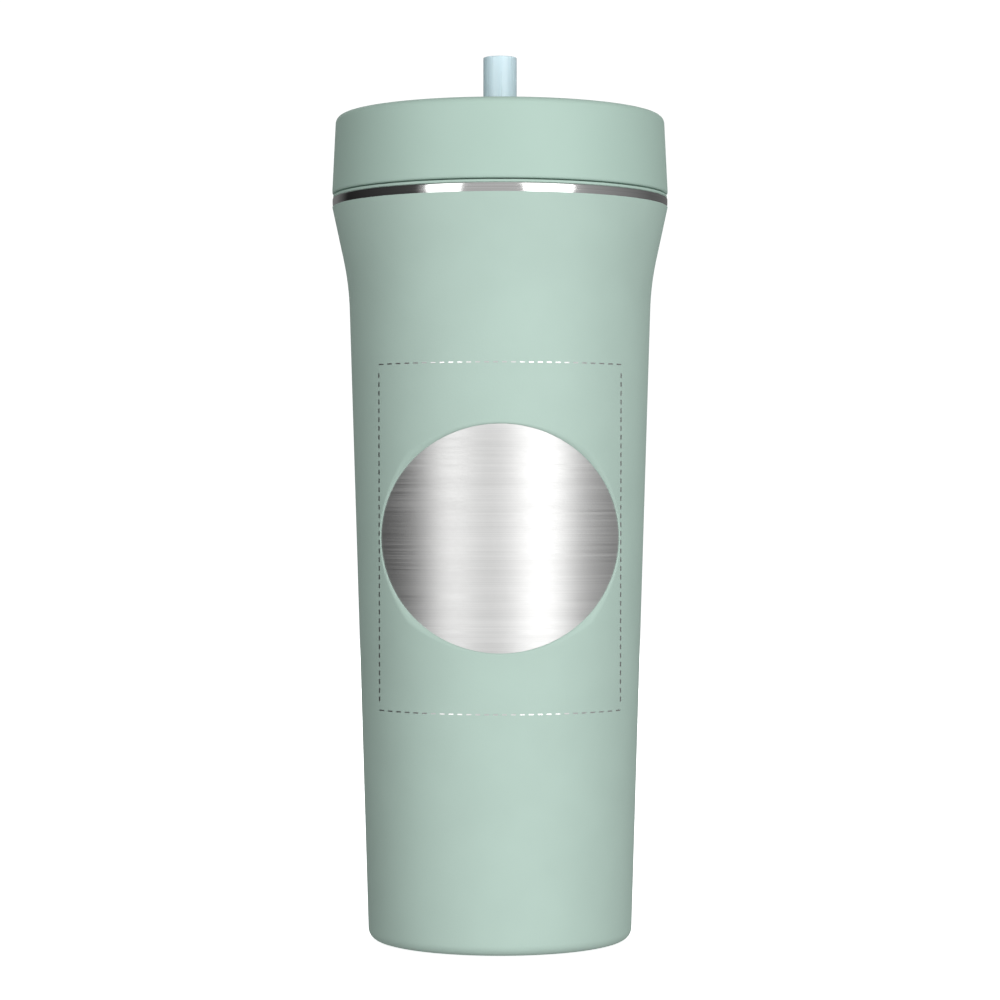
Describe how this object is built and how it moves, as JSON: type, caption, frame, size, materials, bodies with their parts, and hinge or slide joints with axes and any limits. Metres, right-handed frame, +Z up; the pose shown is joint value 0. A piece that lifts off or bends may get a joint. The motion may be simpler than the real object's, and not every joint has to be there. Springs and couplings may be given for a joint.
{
  "type": "insulated tumbler",
  "caption": "Tall tapered double-walled steel tumbler with a flared mouth, a push-in lid and a straight straw that slides in a silicone grommet.",
  "frame": {"origin": "centre of the base, on the surface that the tumbler stands on", "axes": "+Z up along the tumbler's axis; the blank engraved disc on the front faces -Y"},
  "size_m": [0.0902, 0.0902, 0.2371],
  "materials": {
    "green_coat": "fine textured powder coat",
    "steel": "polished at the band, brushed elsewhere",
    "copper": "bright copper foil",
    "getter_metal": "sintered, matt",
    "solder_glass": "fused grey solder glass",
    "lid_plastic": "fine matt moulding",
    "silicone": "soft matt silicone",
    "straw_plastic": "frosted translucent plastic"
  },
  "bodies": {
    "cup": {"outer_wall": "steel", "powder_coat": "green_coat", "inner_wall": "steel", "inner_base": "steel", "outer_base": "steel", "copper_foil": "copper", "getter": "getter_metal", "getter_clip": "steel", "seal_bead": "solder_glass", "base_cover": "steel", "base_pad": "silicone"},
    "lid": {"lid_cover": "lid_plastic", "lid_base": "lid_plastic", "lid_gasket": "silicone", "straw_grommet": "silicone", "vent_valve": "silicone"},
    "straw": {"straw_tube": "straw_plastic", "straw_stopper": "silicone"}
  },
  "joints": [
    {"name": "lid_lift", "type": "slide", "parent": "cup", "child": "lid", "axis": [0, 0, 1], "range_m": [0, 0.2]},
    {"name": "straw_slide", "type": "slide", "parent": "lid", "child": "straw", "axis": [0, 0, 1], "range_m": [-0.003, 0.027]}
  ]
}
